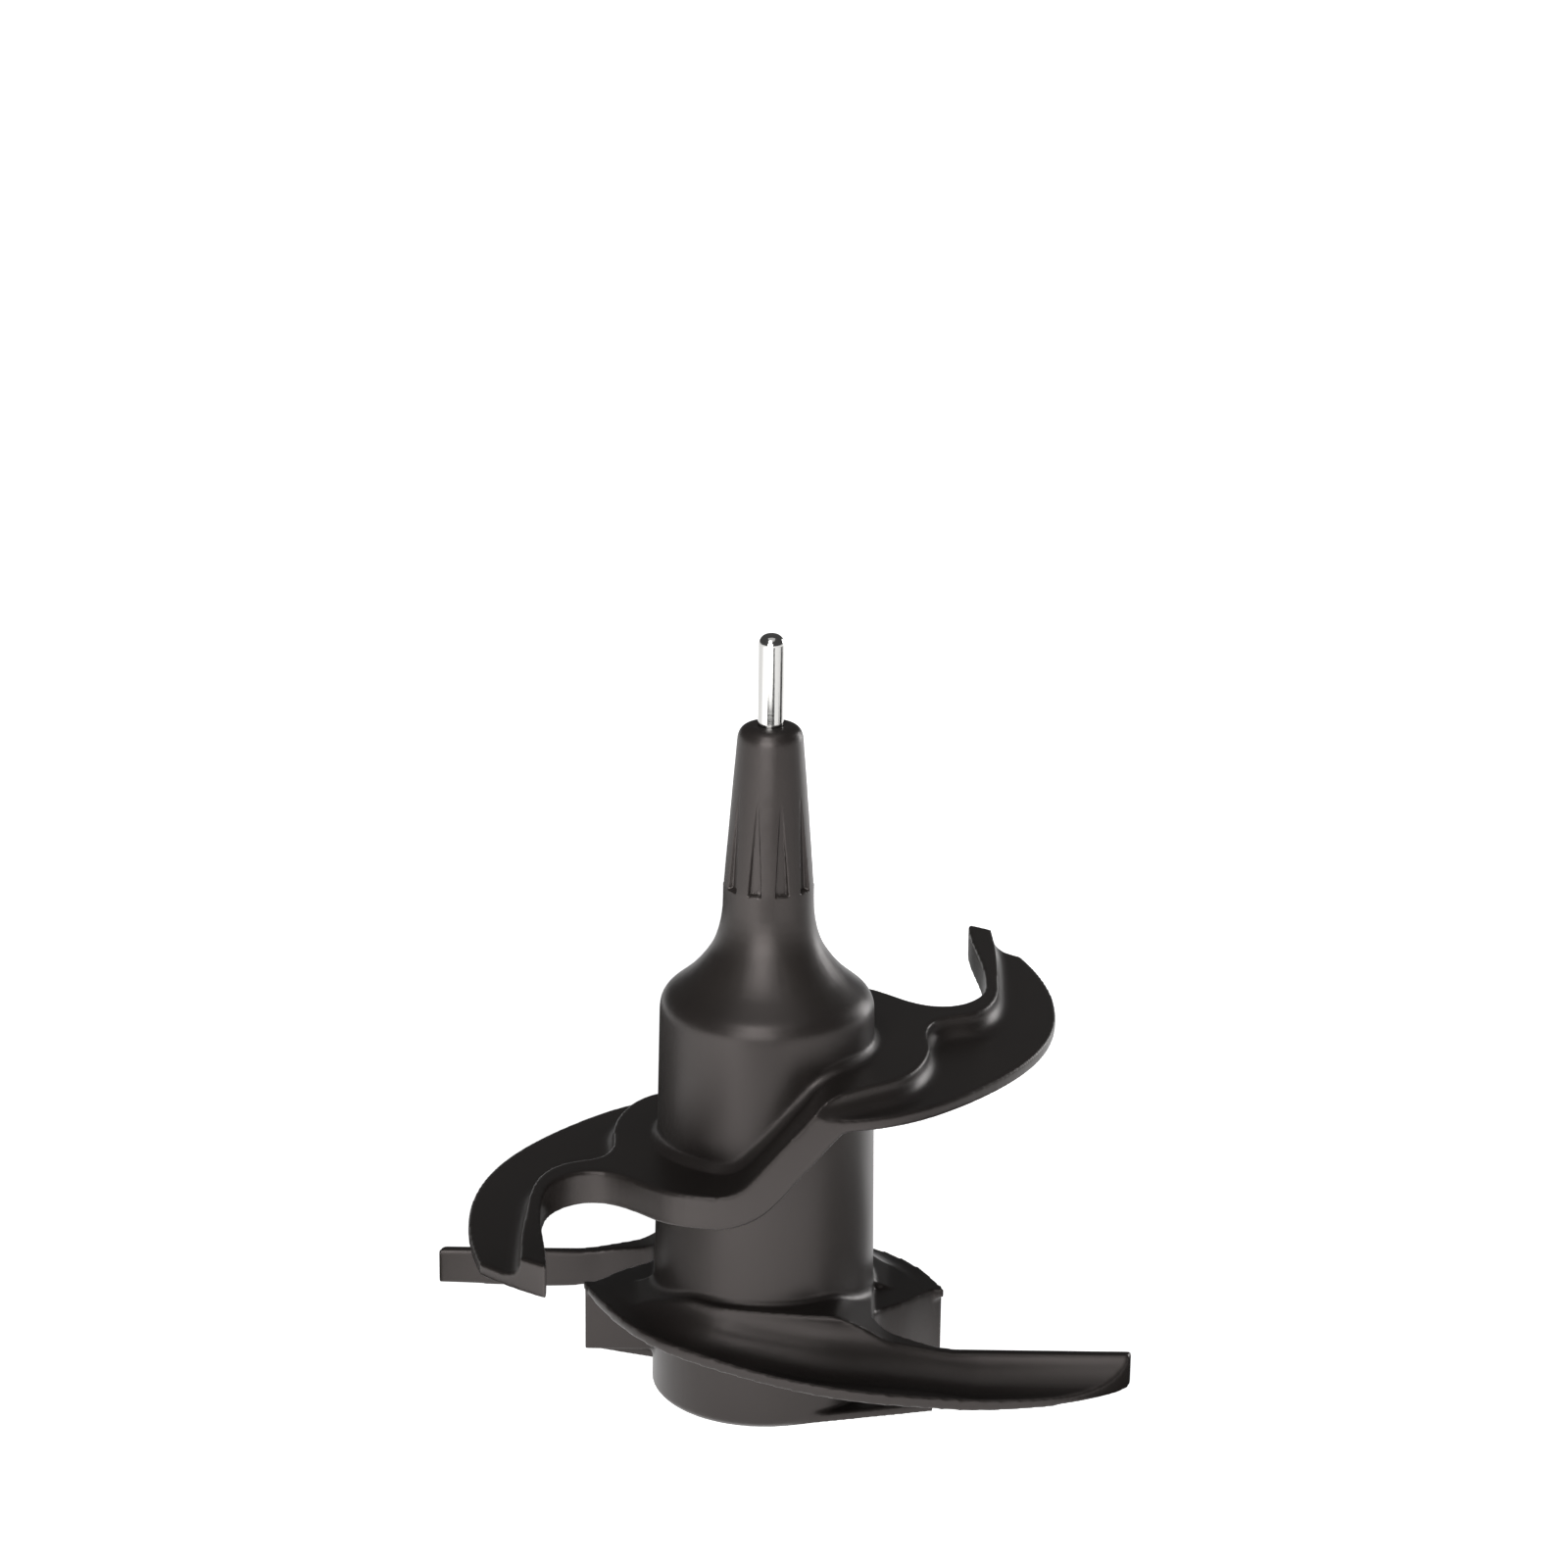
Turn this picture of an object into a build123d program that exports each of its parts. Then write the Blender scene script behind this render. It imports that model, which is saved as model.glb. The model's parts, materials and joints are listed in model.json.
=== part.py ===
# Dough blade for a food processor: one moulded kneading body with a steel spindle pin.
# Millimetres, +Z up, the hub axis is Z and the hub stands on z = 0.
import math
import os

from build123d import *

# Hub and neck
hub_base_radius = 22.0
hub_top_radius = 20.9
hub_foot_bevel = 1.2
hub_wall = 2.6
shoulder_height = 80.0
neck_radius = 8.8
neck_foot_height = 103.0
neck_top_radius = 6.4
neck_height = 137.6
neck_top_round = 2.8

# Flutes in the neck
flute_count = 10
flute_foot_height = 105.5
flute_length = 19.0
flute_width = 2.9
flute_point_width = 0.5
flute_depth = 1.1

# Drive socket under the hub
socket_radius = 7.0
socket_depth = 66.0
socket_wall = 2.6
key_width = 3.6
key_depth = 1.6
rib_count = 6
rib_thickness = 2.2

# Steel pin
pin_radius = 2.5
pin_reach = 18.0
pin_nose_round = 2.0
pin_shank_radius = 2.0
pin_seat_depth = 22.0

# Upper blade: an S in plan, its right arm one step higher than its left
upper_right_reach = 79.0
upper_left_reach = 76.0
upper_left_top = 53.3
upper_step = 20.0
upper_thickness = 6.8
upper_plate = 2.6
upper_ramp_angle = 49.0
upper_ramp_round = 9.0
upper_dish_round = 3.2
upper_root_bevel = 1.4
upper_shift = 0.9

# Lower blade: two scooped arms and two short fins round the hub
lower_front_reach = 75.0
lower_back_reach = 69.7
collar_top = 26.3
collar_half_width = 14.5
fin_top = 21.0
fin_foot = 7.0
arm_top = 18.0
arm_floor = 12.4
lower_plate = 2.4
lower_tip_plate = 0.8
lower_root_bevel = 0.7
arm_wall = 2.0
arm_line = 21.7
scoop_radius = 7.5
scoop_lip = 0.15
floor_bend = 42.0
floor_slope = 0.118
gusset_foot = 0.4
gusset_thickness = 2.0
gusset_point = (34.0, -13.5)

# Hub and neck as one turned profile
neck_fall = (neck_radius - neck_top_radius) / (neck_height - neck_top_round - flute_foot_height)
hub_profile = Polyline(
    (0, 0),
    (hub_base_radius - hub_foot_bevel, 0),
    (hub_base_radius, hub_foot_bevel),
    (hub_top_radius, shoulder_height),
)
hub_profile += Spline(
    (hub_top_radius, shoulder_height),
    (hub_top_radius - 3.6, shoulder_height + 5.4),
    (hub_top_radius - 10.2, shoulder_height + 13.2),
    (neck_radius, neck_foot_height),
    tangents=((0, 1), (0, 1)),
)
hub_profile += Polyline(
    (neck_radius, neck_foot_height),
    (neck_radius, flute_foot_height),
    (neck_top_radius, neck_height - neck_top_round),
)
hub_profile += Spline(
    (neck_top_radius, neck_height - neck_top_round),
    (neck_top_radius - neck_top_round, neck_height),
    tangents=((-neck_fall, 1), (-1, 0)),
)
hub_profile += Polyline((neck_top_radius - neck_top_round, neck_height), (0, neck_height), (0, 0))
hub = revolve(Plane.XZ * make_face(hub_profile), Axis.Z)

# Flutes: pointed at the top, square at the foot, their floor a gentle cone
flute_top_height = flute_foot_height + flute_length
flute_top_radius = neck_radius - neck_fall * flute_length
flute_face = make_face(
    Polyline(
        (-flute_width / 2, flute_foot_height),
        (flute_width / 2, flute_foot_height),
        (flute_point_width / 2, flute_top_height),
        (-flute_point_width / 2, flute_top_height),
        close=True,
    )
)
flute = extrude(Plane.XZ * flute_face, 2 * neck_radius)
flute_floor = Solid.make_cone(
    neck_radius - flute_depth,
    flute_top_radius,
    flute_length,
    Plane((0, 0, flute_foot_height)),
)
flute -= flute_floor
for index in range(flute_count):
    hub -= Rot(0, 0, (index + 0.5) * 360 / flute_count) * flute

# Upper blade: one edge of the S, its half turn gives the other edge
edge_points = [
    (41.0, 70.0),
    (42.3, 47.0),
    (43.0, 34.5),
    (41.0, 24.6),
    (34.5, 19.8),
    (27.2, 22.6),
    (20.5, 28.6),
    (11.0, 31.8),
    (-3.0, 32.0),
    (-21.5, 29.0),
    (-39.5, 14.6),
    (-53.6, -9.0),
    (-57.0, -28.0),
    (-55.4, -46.0),
    (-48.5, -67.0),
]
edge_half = Spline(*edge_points)
edge_turned = Spline(*[(-x, -y) for x, y in edge_points])
blade_plan = make_face(
    edge_half + Line(edge_half @ 1, edge_turned @ 0) + edge_turned + Line(edge_turned @ 1, edge_half @ 0)
)
upper_right_top = upper_left_top + upper_step
ramp_run = upper_step / math.tan(math.radians(upper_ramp_angle))
ramp_start = -ramp_run / 2 + 2.2
ramp_lean = upper_thickness * math.tan(math.radians(upper_ramp_angle / 2))


def stepped_line(drop, inner_round, outer_round):
    return FilletPolyline(
        (-90, upper_left_top - drop),
        (ramp_start + ramp_lean * drop / upper_thickness, upper_left_top - drop),
        (ramp_start + ramp_run + ramp_lean * drop / upper_thickness, upper_right_top - drop),
        (90, upper_right_top - drop),
        radius=(inner_round, outer_round),
    )


band_top = stepped_line(0.0, upper_ramp_round, upper_ramp_round)
band_foot = stepped_line(upper_thickness, upper_ramp_round + upper_thickness, 3.0)
band = make_face(
    band_top + Line(band_top @ 1, band_foot @ 1) + band_foot + Line(band_foot @ 0, band_top @ 0)
)
upper = extrude(blade_plan, 100) & extrude(Plane.XZ * band, 90, both=True)
right_side = Pos(100, 0, 0) * Box(200, 300, 300)
left_side = Pos(-100, 0, 0) * Box(200, 300, 300)
upper = (upper & right_side & Cylinder(upper_right_reach, 200)) + (
    upper & left_side & Cylinder(upper_left_reach, 200)
)

# Dish in each upper arm: a pocket with a rounded foot, open at the thin edge
dish_inner = Spline(
    (-4.0, -37.0),
    (5.0, -32.4),
    (12.7, -28.4),
    (18.8, -24.0),
    (25.5, -18.8),
    (29.4, -11.0),
    (30.8, -2.0),
    (30.6, 6.0),
    (33.0, 12.0),
    (39.5, 15.4),
    (44.0, 22.0),
    (45.6, 34.0),
    (45.8, 56.0),
    (44.0, 80.0),
)
dish_plan = make_face(
    dish_inner + Polyline(dish_inner @ 1, (95, 80), (95, -37), dish_inner @ 0)
)
dish = extrude(Pos(0, 0, upper_right_top - upper_thickness + upper_plate) * dish_plan, 30)
dish_foot = dish.faces().sort_by(Axis.Z)[0].edges().sort_by(SortBy.LENGTH)[-1]
dish = fillet(dish_foot, upper_dish_round)
upper -= dish
upper -= Pos(0, 0, -upper_step) * Rot(0, 0, 180) * dish
upper = Pos(upper_shift, 0, 0) * upper

# Lower blade, one half: its outer lip, arched top and falling plate
notch_end = (21.6, -15.0)
arm_edge = Spline((36.0, -arm_line), (26.2, -19.8), notch_end, tangents=((-1, 0), (0, 1)))
fin_edge = Spline(notch_end, (27.0, -7.8), (35.8, 1.0), tangents=((0, 1), (0.8, 0.6)))
arch_line = FilletPolyline(
    (-60, fin_top),
    (-collar_half_width - 11, fin_top),
    (-collar_half_width + 1, collar_top),
    (collar_half_width, collar_top),
    (collar_half_width + 10, arm_top + 2.2),
    (36, arm_top),
    (90, arm_top),
    radius=(5, 8, 8, 10, 20),
)
lip_line = Spline(
    (-35.8, 1.0),
    (-31.8, -8.4),
    (-21.1, -22.6),
    (-5.7, -30.8),
    (9.5, -35.2),
    (24.6, -35.7),
    (40.0, -33.8),
    (56.0, -31.6),
    (65.0, -28.2),
    (73.5, -21.9),
)


def plate_line(drop, tip_drop):
    return FilletPolyline(
        (-60, arm_floor + floor_slope * (floor_bend + 60) - drop),
        (floor_bend, arm_floor - drop),
        (90, arm_floor - tip_drop),
        radius=60,
    )


plate_top = plate_line(0.0, 0.0)
plate_foot = plate_line(lower_plate, lower_tip_plate)
half_plan = make_face(
    lip_line
    + Polyline(lip_line @ 1, (77, -arm_line), arm_edge @ 0)
    + arm_edge
    + Polyline(notch_end, (21.6, 1.0), lip_line @ 0)
)
half_side = make_face(
    arch_line
    + Line(arch_line @ 1, plate_foot @ 1)
    + plate_foot
    + Line(plate_foot @ 0, (-60, fin_top))
)
half_block = extrude(half_plan, 60) & extrude(Plane.XZ * half_side, 90, both=True)

# The scoop: a round channel along the arm and round the collar, and the open side beyond it
channel_side = -arm_line - arm_wall - scoop_radius
channel_line = Spline(
    (-33.5, 6.0),
    (-31.0, -4.0),
    (-25.0, -17.5),
    (-14.0, -28.2),
    (0.8, -32.1),
    (12.8, -33.0),
    (21.5, -32.0),
    (31.0, channel_side),
    (floor_bend, channel_side),
    tangents=((0.25, -1), (1, 0)),
)
channel_plane = Plane(
    (floor_bend, 0, arm_floor + scoop_radius),
    x_dir=(1, 0, -floor_slope),
    z_dir=(floor_slope, 0, 1),
)
channel_path = channel_plane * Pos(-floor_bend, 0) * channel_line
channel_start = Plane(channel_path @ 0, z_dir=channel_path % 0)
channel_bend = Plane(channel_path @ 1, z_dir=(1, 0, 0))
channel = sweep(channel_start * Circle(scoop_radius), channel_path)
channel += extrude(channel_bend * Circle(scoop_radius), 60)
channel += channel_bend * Sphere(scoop_radius)
open_plan = make_face(
    channel_line
    + Polyline(
        channel_line @ 1,
        (90, channel_side),
        (90, -60),
        (-60, -60),
        (-60, 6),
        channel_line @ 0,
    )
)
open_side = make_face(plate_top + Polyline(plate_top @ 1, (90, 60), (-60, 60), plate_top @ 0))
open_side = Pos(0, scoop_lip) * open_side
scoop = channel + (extrude(open_plan, 60) & extrude(Plane.XZ * open_side, 90, both=True))

# Fin at the end of the scoop, and the gusset under the arm
fin_plan = make_face(fin_edge + Polyline(fin_edge @ 1, (0, 1.0), (0, -15.0), notch_end))
fin = extrude(Pos(0, 0, fin_foot) * fin_plan, fin_top - fin_foot)
gusset_plan = make_face(Polyline((4, -3), gusset_point, (6, -20.8), close=True))
gusset = extrude(Pos(0, 0, gusset_foot) * gusset_plan, gusset_thickness)

lower_half = (half_block - scoop) + fin + gusset
front_half = lower_half & Cylinder(lower_front_reach, 200)
back_half = Rot(0, 0, 180) * (lower_half & Cylinder(lower_back_reach, 200))


# Roots of both blades, eased where they leave the hub
def hub_radius(height):
    climb = (height - hub_foot_bevel) / (shoulder_height - hub_foot_bevel)
    return hub_base_radius + (hub_top_radius - hub_base_radius) * climb


def root_edges(solid, low, high):
    found = []
    for edge in solid.edges():
        points = [edge @ share for share in (0.1, 0.35, 0.65, 0.9)]
        on_hub = all(abs(math.hypot(p.X, p.Y) - hub_radius(p.Z)) < 0.05 for p in points)
        upright = math.hypot(points[0].X - points[3].X, points[0].Y - points[3].Y) < 0.4
        if on_hub and not upright and all(low < p.Z < high for p in points):
            found.append(edge)
    return found


def above_band(edge):
    middle = edge @ 0.5
    climb = min(max((middle.X - ramp_start) / ramp_run, 0), 1)
    return middle.Z > upper_left_top + upper_step * climb - upper_thickness / 2


body = hub + front_half + back_half
body = body.chamfer(lower_root_bevel, None, root_edges(body, fin_top - 1, collar_top + 8))
body += upper
upper_roots = filter(above_band, root_edges(body, collar_top + 9, shoulder_height - 1))
body = body.chamfer(upper_root_bevel, None, upper_roots)

# Hollow hub with the drive socket on ribs
cavity_top = shoulder_height - 6
cavity = Cone(
    hub_base_radius - hub_wall,
    hub_top_radius - hub_wall,
    cavity_top,
    align=(Align.CENTER, Align.CENTER, Align.MIN),
)
cavity -= Cylinder(
    socket_radius + key_depth + socket_wall, cavity_top, align=(Align.CENTER, Align.CENTER, Align.MIN)
)
for index in range(rib_count):
    cavity -= Rot(0, 0, index * 360 / rib_count) * (
        Pos(hub_base_radius / 2, 0, cavity_top / 2 + 4) * Box(hub_base_radius, rib_thickness, cavity_top)
    )
body -= cavity
socket = Cylinder(socket_radius, socket_depth, align=(Align.CENTER, Align.CENTER, Align.MIN))
socket += Box(
    2 * (socket_radius + key_depth),
    key_width,
    socket_depth,
    align=(Align.CENTER, Align.CENTER, Align.MIN),
)
body -= socket

# Steel pin: its shoulder sits on the neck, its thinner shank is moulded in
pin = Cylinder(pin_radius, pin_reach, align=(Align.CENTER, Align.CENTER, Align.MIN))
pin = fillet(pin.edges().sort_by(Axis.Z)[-1], pin_nose_round)
shank = Cylinder(pin_shank_radius, pin_seat_depth, align=(Align.CENTER, Align.CENTER, Align.MAX))
pin = Pos(0, 0, neck_height) * (pin + shank)
body -= pin

os.makedirs("parts", exist_ok=True)
export_step(body.solids().sort_by(SortBy.VOLUME)[-1], "parts/kneading_body.step")
export_step(pin.solids()[0], "parts/spindle_pin.step")
print("solids", len(body.solids()), "volume", round(body.volume), "box", body.bounding_box())
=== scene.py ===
# %% [markdown]
# # A dough blade for a food processor
# This lesson dresses one moulded kneading blade. Its solids come ready made and stand in their
# right place, in metres, with the hub along Z. We keep their size and place, and give them the
# softness, the finishes, the light and the view that a product photograph shows.

# %% Load the solids
import json
import math

import bpy
from mathutils import Matrix, Vector
from mathutils.geometry import interpolate_bezier

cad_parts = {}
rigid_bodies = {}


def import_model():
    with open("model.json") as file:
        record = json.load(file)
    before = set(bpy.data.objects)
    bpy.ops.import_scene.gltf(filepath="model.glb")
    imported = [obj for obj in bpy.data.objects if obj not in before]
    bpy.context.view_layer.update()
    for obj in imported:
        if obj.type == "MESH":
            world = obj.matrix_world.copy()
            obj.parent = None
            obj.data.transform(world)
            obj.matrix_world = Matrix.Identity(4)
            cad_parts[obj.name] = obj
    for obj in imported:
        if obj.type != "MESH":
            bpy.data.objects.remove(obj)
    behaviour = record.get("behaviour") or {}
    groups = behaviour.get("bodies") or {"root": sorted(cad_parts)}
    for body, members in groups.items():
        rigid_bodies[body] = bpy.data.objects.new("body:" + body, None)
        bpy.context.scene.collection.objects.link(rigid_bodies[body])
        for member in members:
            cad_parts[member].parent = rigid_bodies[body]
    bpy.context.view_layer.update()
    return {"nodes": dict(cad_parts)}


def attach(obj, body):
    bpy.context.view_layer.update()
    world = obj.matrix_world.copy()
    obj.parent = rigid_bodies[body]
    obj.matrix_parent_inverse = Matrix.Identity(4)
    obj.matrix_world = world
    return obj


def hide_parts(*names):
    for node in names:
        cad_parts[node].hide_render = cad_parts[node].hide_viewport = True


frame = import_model()

# %% [markdown]
# ## The camera
# The photograph looks a little down on the blade from the front. Its lens was long, so the hub's
# sides stay nearly parallel. A wide lens moved closer would fan them out, so we stand back 0.85 m
# with a lens of about 107 mm, and turn the camera by its tilt and a trace of roll.

# %% Set the camera
mm = 0.001
stand_back = 850 * mm
eye_height = 405 * mm
step_right = 2.7 * mm
look_down = math.radians(18.19)
roll = math.radians(0.78)
camera_data = bpy.data.cameras.new("product_camera")
camera_data.sensor_width = 36.0
camera_data.lens = 107.3
camera = bpy.data.objects.new("product_camera", camera_data)
bpy.context.scene.collection.objects.link(camera)
camera.matrix_world = (
    Matrix.Translation((step_right, -stand_back, eye_height))
    @ Matrix.Rotation(math.radians(90) - look_down, 4, "X")
    @ Matrix.Rotation(roll, 4, "Z")
)
bpy.context.scene.camera = camera
print("camera at", tuple(round(v, 3) for v in camera.matrix_world.translation))

# %% [markdown]
# ## The glowing floor
# Black plastic shows little of its own colour: what we see on it is mostly the room. In the
# photograph every wall that stands up is grey and every face that looks up is nearly black. Lamps
# above would do the opposite. A light table gives this look: a sheet of opal acrylic, lit from
# below, that shines on the walls and leaves the tops alone. One lamp under it, in front and to
# the left, makes a brighter spot there, and a round gradient draws how that spot fades.

# %% Lay the floor
def linear(hex_colour):
    """An sRGB hex colour as the linear numbers that the shaders use."""
    parts = [int(hex_colour[i : i + 2], 16) / 255 for i in (1, 3, 5)]
    return [c / 12.92 if c <= 0.04045 else ((c + 0.055) / 1.055) ** 2.4 for c in parts] + [1.0]


def add_node(tree, kind, settings=None, links=None):
    """One shader node with its settings and links; a link is input: (node, output name)."""
    node = tree.nodes.new(kind)
    for name, value in (settings or {}).items():
        if isinstance(name, int) or name in node.inputs:
            node.inputs[name].default_value = value
        else:
            setattr(node, name, value)
    for name, (source, output) in (links or {}).items():
        tree.links.new(source.outputs[output], node.inputs[name])
    return node


floor_size = 12
floor_middle = 3
floor_drop = 0.5 * mm
bpy.ops.object.select_all(action="DESELECT")
bpy.ops.mesh.primitive_plane_add(size=floor_size, location=(0, floor_middle, -floor_drop))
floor = bpy.context.active_object
floor.name = "glowing_floor"
print("floor laid,", floor_size, "m wide")

# %% Light the floor from below
floor_glow = 1.05
lamp_boost = 3.0
lamp_reach = 0.5
lamp_x, lamp_y = -0.2, -0.42
acrylic = bpy.data.materials.new("opal_acrylic_lit_from_below")
acrylic.use_nodes = True
tree = acrylic.node_tree
sheet = tree.nodes["Principled BSDF"].inputs
sheet["Base Color"].default_value = linear("#D0D0D0")
sheet["Roughness"].default_value = 0.9
sheet["Emission Color"].default_value = linear("#FFFFFF")
place = add_node(tree, "ShaderNodeTexCoord")
lamp_place = add_node(
    tree,
    "ShaderNodeMapping",
    {
        "vector_type": "TEXTURE",
        "Location": (lamp_x, lamp_y - floor_middle, 0),
        "Scale": (lamp_reach, lamp_reach, lamp_reach),
    },
    {"Vector": (place, "Object")},
)
lamp = add_node(
    tree,
    "ShaderNodeTexGradient",
    {"gradient_type": "SPHERICAL"},
    {"Vector": (lamp_place, "Vector")},
)
glow = add_node(
    tree,
    "ShaderNodeMath",
    {"operation": "MULTIPLY_ADD", 1: lamp_boost, 2: floor_glow},
    {0: (lamp, "Fac")},
)
tree.links.new(glow.outputs["Value"], sheet["Emission Strength"])
floor.data.materials.append(acrylic)
print("floor glows", floor_glow, "and up to", floor_glow + lamp_boost, "over the lamp")

# %% [markdown]
# ## The soft panels
# The floor alone would leave the shoulder and the blades' rounds without a highlight. Soft panels
# add those: two in front to the left, a wide weak one overhead, and a small one behind to the
# right that draws the hub's far edge. A few watts each are enough, because the floor does most.

# %% Hang the soft panels
def soft_panel(name, place, aim, width, height, watts):
    """A rectangular light panel that faces a point of the object."""
    data = bpy.data.lights.new(name, "AREA")
    data.shape = "RECTANGLE"
    data.size = width
    data.size_y = height
    data.energy = watts
    panel = bpy.data.objects.new(name, data)
    bpy.context.scene.collection.objects.link(panel)
    panel.location = place
    panel.visible_camera = False
    panel.rotation_euler = (Vector(aim) - Vector(place)).to_track_quat("-Z", "Y").to_euler()
    print(name, watts, "W")


hub_middle = (0, 0, 0.07)
floor_behind = (0, 0.2, 0)
soft_panel("overhead_panel", (0, -0.5, 2.2), floor_behind, width=1.8, height=1.8, watts=8)
soft_panel("front_panel", (-0.25, -1.2, 0.38), hub_middle, width=0.9, height=0.6, watts=13)
soft_panel("high_front_panel", (-0.25, -1.0, 1.15), hub_middle, width=0.7, height=0.7, watts=10)
soft_panel("right_panel", (0.7, 0.6, 0.2), hub_middle, width=0.25, height=0.4, watts=2.2)

# %% [markdown]
# ## The black cards
# A white floor on every side would melt the edges of the hub and the pin into the background.
# Photographers lay black cards just out of view, and each card is mirrored as a dark edge. Ours
# lie on the floor behind and beside the blade. Two more lie farther out, where only the steel pin
# mirrors them, as its two dark strips. Two flags in front shade the scoop of the lower arm. The
# camera doesn't see the cards themselves, so they may lie where they are needed.

# %% Lay the black cards
card_black = bpy.data.materials.new("paperboard_black_matte")
card_black.use_nodes = True
card_black.node_tree.nodes["Principled BSDF"].inputs["Base Color"].default_value = linear("#0A0A0A")
card_black.node_tree.nodes["Principled BSDF"].inputs["Roughness"].default_value = 1.0


def black_card(name, place, width, length, tilt=0.0):
    """A black card near the object, flat or tilted, out of the camera's view."""
    bpy.ops.object.select_all(action="DESELECT")
    bpy.ops.mesh.primitive_plane_add(size=1, location=place, rotation=(tilt, 0, 0))
    card = bpy.context.active_object
    card.name = name
    card.scale = (width, length, 1)
    card.data.materials.append(card_black)
    card.visible_camera = False
    print(name, width, "by", length, "m")


lift = 1 * mm
upright = math.radians(90)
black_card("back_card", (-0.135, 0.185, lift), width=0.27, length=0.29)
black_card("left_card", (-0.105, -0.01, lift), width=0.07, length=0.14)
black_card("right_card", (0.11, 0.0, lift), width=0.08, length=0.12)
black_card("far_right_card", (0.35, 0.02, lift), width=0.16, length=0.3)
black_card("pin_front_card", (0.185, -0.43, lift), width=0.13, length=0.18)
black_card("pin_right_card", (0.48, 0.1, lift), width=0.1, length=0.24)
black_card("front_flag", (-0.01, -0.11, 0.1), width=0.12, length=0.06)
black_card("low_front_flag", (-0.012, -0.15, 0.058), width=0.11, length=0.05, tilt=upright)

# %% [markdown]
# ## The dim room
# What the blade sees above the floor is a dim room. A bright sky would grey every top face, so
# the world is white at a tenth of full strength. The standard view keeps the floor pure white.

# %% Dim the room
room = bpy.data.worlds.new("dim_room")
bpy.context.scene.world = room
room.use_nodes = True
room.node_tree.nodes["Background"].inputs["Color"].default_value = linear("#FFFFFF")
room.node_tree.nodes["Background"].inputs["Strength"].default_value = 0.10
bpy.context.scene.view_settings.view_transform = "Standard"
print("room set:", room.name)

# %% [markdown]
# ## Black moulded plastic
# The body is moulded polypropylene, coloured through and finely spark-etched in the mould. The
# eye gets a warm near-black, a wide soft shine and a faint tooth. The tooth is a noise of about
# half a millimetre, coarser than the real one so that it shows, and slow cloudy patches change
# the shine a little, as handling does.

# %% Mix the plastic
plastic = bpy.data.materials.new("polypropylene_black_spark_etched")
plastic.use_nodes = True
tree = plastic.node_tree
shader = tree.nodes["Principled BSDF"]
shader.inputs["IOR"].default_value = 1.49
shader.inputs["Specular Tint"].default_value = linear("#FFF4F1")
place = add_node(tree, "ShaderNodeTexCoord")
tooth_size = 0.5 * mm
tooth = add_node(
    tree,
    "ShaderNodeTexNoise",
    {"Scale": 1 / tooth_size, "Detail": 3.0, "Roughness": 0.6},
    {"Vector": (place, "Object")},
)
tooth_depth = 0.03 * mm
bump = add_node(
    tree,
    "ShaderNodeBump",
    {"Strength": 0.12, "Distance": tooth_depth},
    {"Height": (tooth, "Fac")},
)
tree.links.new(bump.outputs["Normal"], shader.inputs["Normal"])
print("plastic's tooth:", tooth_size, "m wide")

# %% Cloud its shine and colour
patch_size = 18 * mm
patches = add_node(
    tree,
    "ShaderNodeTexNoise",
    {"Scale": 1 / patch_size, "Detail": 2.0},
    {"Vector": (place, "Object")},
)
shine = add_node(
    tree,
    "ShaderNodeMapRange",
    {"From Min": 0.3, "From Max": 0.7, "To Min": 0.36, "To Max": 0.42},
    {"Value": (patches, "Fac")},
)
tree.links.new(shine.outputs["Result"], shader.inputs["Roughness"])
colour = add_node(tree, "ShaderNodeValToRGB", links={"Fac": (patches, "Fac")})
colour.color_ramp.elements[0].position = 0.3
colour.color_ramp.elements[0].color = linear("#191615")
colour.color_ramp.elements[1].position = 0.7
colour.color_ramp.elements[1].color = linear("#1D1A18")
tree.links.new(colour.outputs["Color"], shader.inputs["Base Color"])
print("plastic's patches:", patch_size, "m wide")

# %% [markdown]
# ## Polished steel
# The pin is a drawn steel rod, centreless ground and polished, so it mirrors the room with a
# slight blur and carries very fine rings round its length. A metal keeps the default IOR.
# The rings are drawn 0.4 mm apart, coarser than the real grinding marks. Across the pin they
# hardly change, so the pattern is stretched to 50 mm there.

# %% Mix the steel
steel = bpy.data.materials.new("stainless_steel_ground_polished")
steel.use_nodes = True
tree = steel.node_tree
shader = tree.nodes["Principled BSDF"]
shader.inputs["Metallic"].default_value = 1.0
shader.inputs["Base Color"].default_value = linear("#B9B8B6")
place = add_node(tree, "ShaderNodeTexCoord")
ring_gap = 0.4 * mm
ring_run = 50 * mm
stretch = add_node(
    tree,
    "ShaderNodeMapping",
    {"Scale": (1 / ring_run, 1 / ring_run, 1 / ring_gap)},
    {"Vector": (place, "Object")},
)
rings = add_node(
    tree,
    "ShaderNodeTexNoise",
    {"Scale": 1.0, "Detail": 2.0},
    {"Vector": (stretch, "Vector")},
)
shine = add_node(
    tree,
    "ShaderNodeMapRange",
    {"From Min": 0.3, "From Max": 0.7, "To Min": 0.08, "To Max": 0.16},
    {"Value": (rings, "Fac")},
)
tree.links.new(shine.outputs["Result"], shader.inputs["Roughness"])
pin = frame["nodes"]["spindle_pin"]
pin.data.materials.clear()
pin.data.materials.append(steel)
print("steel on", pin.name)

# %% [markdown]
# ## The moulded body
# A mould has no knife edges: every corner of the blade is eased, and those rounds catch the light
# as soft lines. Bevelling hundreds of curved edges by hand is slow and breaks where the arms meet
# the hub. Instead we copy the solid, grow one even skin over the copy and relax it, so that every
# edge softens by the same amount. First the copy's loose triangles are welded.

# %% Copy and weld the body
bpy.ops.object.select_all(action="DESELECT")
solid_body = frame["nodes"]["kneading_body"]
body = solid_body.copy()
body.data = solid_body.data.copy()
body.name = "moulded_body"
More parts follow.
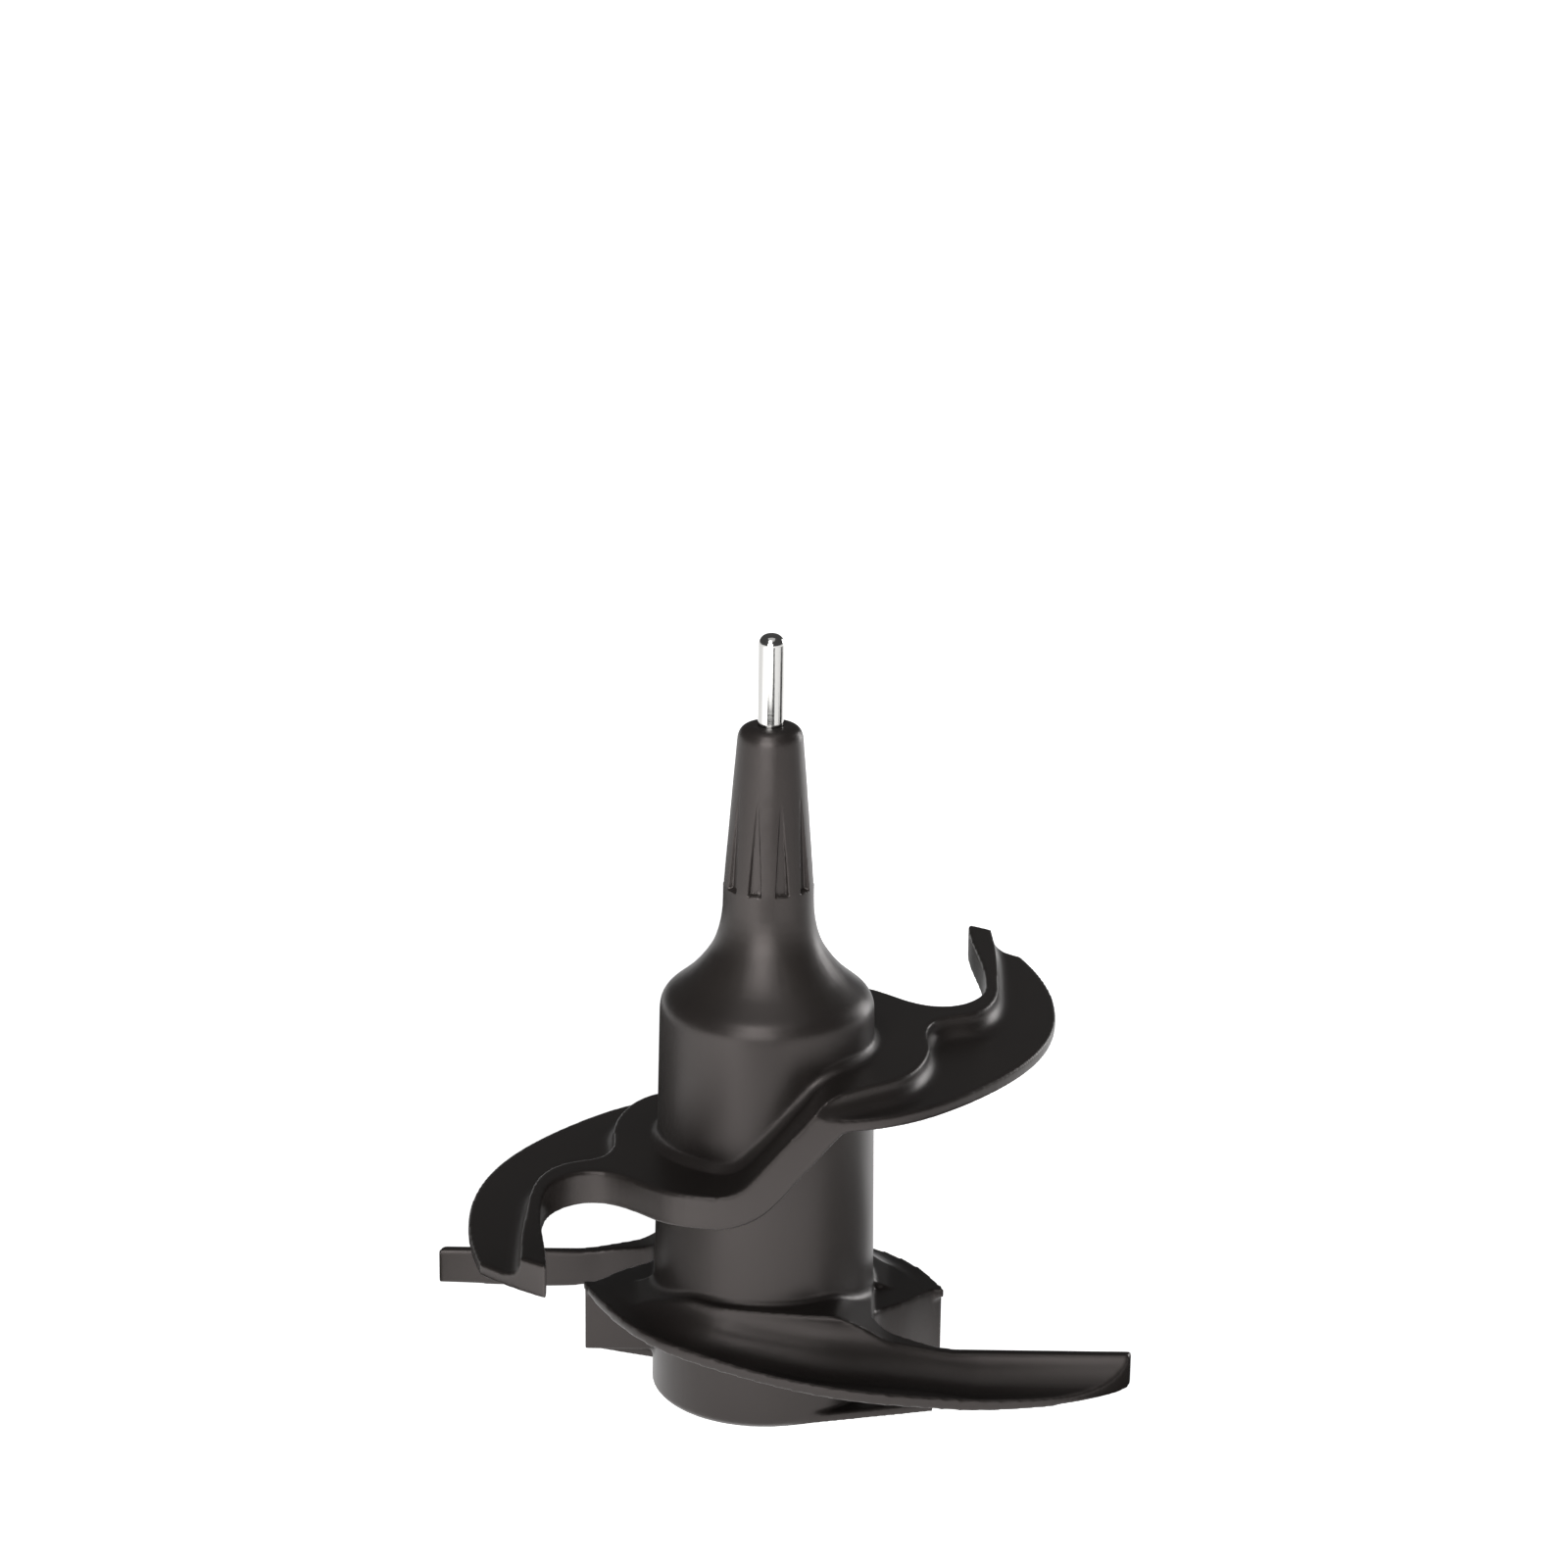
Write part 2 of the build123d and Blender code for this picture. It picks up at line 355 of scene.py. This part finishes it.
# The copy is a new piece, so it drops the labels that mark the solid
for label in list(body.keys()):
    del body[label]
body.parent = None
body.matrix_world = Matrix.Identity(4)
bpy.context.scene.collection.objects.link(body)
body.select_set(True)
bpy.context.view_layer.objects.active = body
bpy.ops.object.mode_set(mode="EDIT")
bpy.ops.mesh.select_all(action="SELECT")
bpy.ops.mesh.remove_doubles(threshold=0.002 * mm)
bpy.ops.object.mode_set(mode="OBJECT")
print("welded:", len(body.data.vertices), "points")

# %% [markdown]
# ## A round sleeve for hub and neck
# The hub, its flare and the neck were turned in the mould, so they are truly round. The solid's
# triangles show there as flat strips. We could divide them, but flat strips stay flat. So a thin
# sleeve of 256 sides is drawn upwards from a circle, with the flare as one curve, and laid over
# the solid. It also fills the ten flutes of the neck, which are pressed in again later.

# %% Draw the sleeve's outline
hub_foot = (22.0, 1.4)
hub_top = (20.9, 80)
neck_foot = (8.8, 103)
flute_foot_height = 105.5
sleeve_top = (6.75, 130.5)
sleeve_wall = 0.8
flare = interpolate_bezier(
    Vector((hub_top[0], 0, hub_top[1])),
    Vector((hub_top[0], 0, 86.3)),
    Vector((neck_foot[0], 0, 86.2)),
    Vector((neck_foot[0], 0, neck_foot[1])),
    20,
)
outside = [hub_foot] + [(p.x, p.z) for p in flare]
outside += [(neck_foot[0], flute_foot_height), sleeve_top]
inside = [(radius - sleeve_wall, height) for radius, height in reversed(outside)]
outline = outside + inside
print("outline:", len(outline), "rings")

# %% Draw the sleeve up from a circle
bpy.ops.object.select_all(action="DESELECT")
radius, height = outline[0]
bpy.ops.mesh.primitive_circle_add(vertices=256, radius=radius * mm, location=(0, 0, height * mm))
sleeve = bpy.context.active_object
bpy.ops.object.transform_apply(location=True)
bpy.ops.object.mode_set(mode="EDIT")
bpy.ops.mesh.select_all(action="SELECT")
for new_radius, new_height in outline[1:]:
    climb = (0, 0, (new_height - height) * mm)
    bpy.ops.mesh.extrude_region_move(TRANSFORM_OT_translate={"value": climb})
    grow = new_radius / radius
    bpy.ops.transform.resize(value=(grow, grow, 1), center_override=(0, 0, 0))
    radius, height = new_radius, new_height
bpy.ops.mesh.select_all(action="SELECT")
bpy.ops.mesh.region_to_loop()
bpy.ops.mesh.bridge_edge_loops()
bpy.ops.mesh.select_all(action="SELECT")
bpy.ops.mesh.normals_make_consistent(inside=False)
bpy.ops.object.mode_set(mode="OBJECT")
print("sleeve:", len(sleeve.data.polygons), "faces")

# %% [markdown]
# ## One even skin
# Body and sleeve now overlap. A voxel remesh makes one closed skin of both, with cells of 0.42 mm,
# fine enough for the thin leading edges. Smooth relaxes that skin, which eases the edges and
# leaves flat faces flat. Decimate then takes away four faces of five, most of them on the flats.

# %% Grow and ease the skin
body.select_set(True)
sleeve.select_set(True)
bpy.context.view_layer.objects.active = body
bpy.ops.object.join()
skin = body.modifiers.new("even_skin", "REMESH")
skin.mode = "VOXEL"
skin.voxel_size = 0.42 * mm
bpy.ops.object.modifier_apply(modifier="even_skin")
relax = body.modifiers.new("eased_edges", "SMOOTH")
relax.factor = 0.5
relax.iterations = 6
bpy.ops.object.modifier_apply(modifier="eased_edges")
thin = body.modifiers.new("fewer_faces", "DECIMATE")
thin.ratio = 0.2
bpy.ops.object.modifier_apply(modifier="fewer_faces")
print("skin:", len(body.data.polygons), "faces")

# %% [markdown]
# ## The flutes in the neck
# Ten grooves give a hold on the neck. Each is square at its foot and runs out to a point. Small
# cutters and a Boolean could cut them, but the skin would tear along their thin points. We divide
# the neck's faces and press the points inwards instead: a groove is deepest at its foot, and its
# walls are steep but not upright, so the skin stays whole.

# %% Divide the neck
flute_foot = flute_foot_height * mm
flute_length = 19 * mm
below_foot = 0.6 * mm
bpy.ops.object.mode_set(mode="EDIT")
bpy.ops.mesh.select_all(action="DESELECT")
bpy.ops.object.mode_set(mode="OBJECT")
for face in body.data.polygons:
    face.select = flute_foot - below_foot < face.center.z < flute_foot + flute_length
bpy.ops.object.mode_set(mode="EDIT")
bpy.ops.mesh.subdivide(number_cuts=2)
bpy.ops.object.mode_set(mode="OBJECT")
print("neck divided:", len(body.data.polygons), "faces")

# %% Press the flutes
flute_count = 10
flute_depth = 1.1 * mm
foot_half_width = 1.45 * mm
point_half_width = 0.25 * mm
side_slope = 0.22 * mm
foot_slope = 0.35 * mm
pin_seat_clear = 5 * mm
pitch = math.tau / flute_count
pressed = 0
for point in body.data.vertices:
    climb = (point.co.z - flute_foot) / flute_length
    reach = math.hypot(point.co.x, point.co.y)
    if 0 < climb < 1 and reach > pin_seat_clear:
        turn = math.atan2(point.co.y, point.co.x) / pitch
        across = abs(turn - round(turn)) * pitch * reach
        half_width = foot_half_width + (point_half_width - foot_half_width) * climb
        side = min(max((half_width - across) / side_slope, 0), 1)
        foot = min(climb * flute_length / foot_slope, 1)
        press = flute_depth * (1 - climb) * side * foot
        point.co.x -= point.co.x / reach * press
        point.co.y -= point.co.y / reach * press
        pressed += press > 0
print("flutes:", pressed, "points pressed")

# %% Finish the body
bpy.ops.object.shade_smooth()
body.data.materials.clear()
body.data.materials.append(plastic)
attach(body, "root")
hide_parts("kneading_body")
print("body:", len(body.data.vertices), "points", len(body.data.polygons), "faces")
